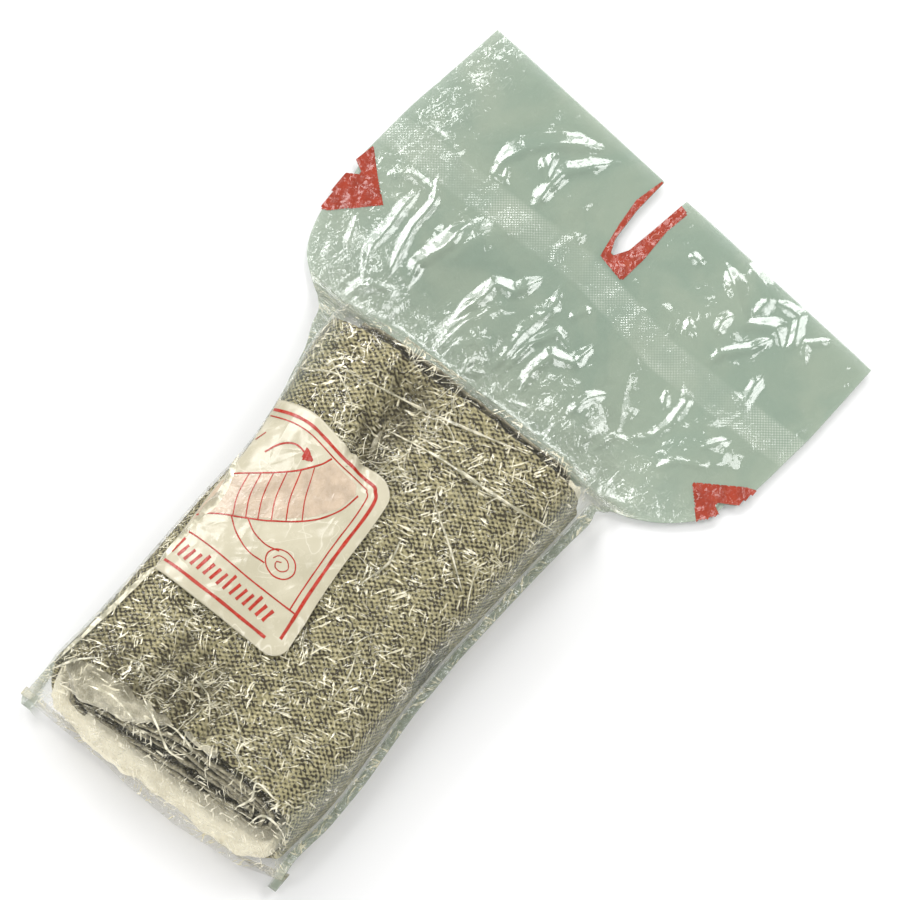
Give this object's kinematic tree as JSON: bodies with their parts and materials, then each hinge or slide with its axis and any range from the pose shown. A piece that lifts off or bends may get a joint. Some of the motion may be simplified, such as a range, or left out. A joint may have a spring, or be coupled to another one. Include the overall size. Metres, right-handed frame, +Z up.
{
  "type": "emergency trauma bandage",
  "caption": "Elastic wrap wound flat round a folded sterile pad, vacuum packed in a clear film pouch with a printed label and a wide tear-open flap.",
  "frame": {"origin": "on the flat underside of the pouch, below the middle of the wound roll", "axes": "+X along the roll from its layered near end to the pouch's flap, +Y to the labelled side, +Z up"},
  "size_m": [0.1898, 0.1203, 0.0322],
  "materials": {
    "knit_wrap": "open elastic knit in sage and dark olive, matt",
    "sterile_pad": "cream non-woven pad, soft and matt",
    "clear_film": "clear crinkled pouch film with a faint green cast, glossy",
    "label_print": "pale cream printed patch under the gloss of the film, with red line print"
  },
  "bodies": {
    "root": {"elastic_wrap_outer": "knit_wrap", "elastic_wrap_core": "knit_wrap", "dressing_pad": "sterile_pad", "pouch_front_film": "clear_film", "pouch_back_film": "clear_film", "label_panel": "label_print"}
  },
  "joints": []
}
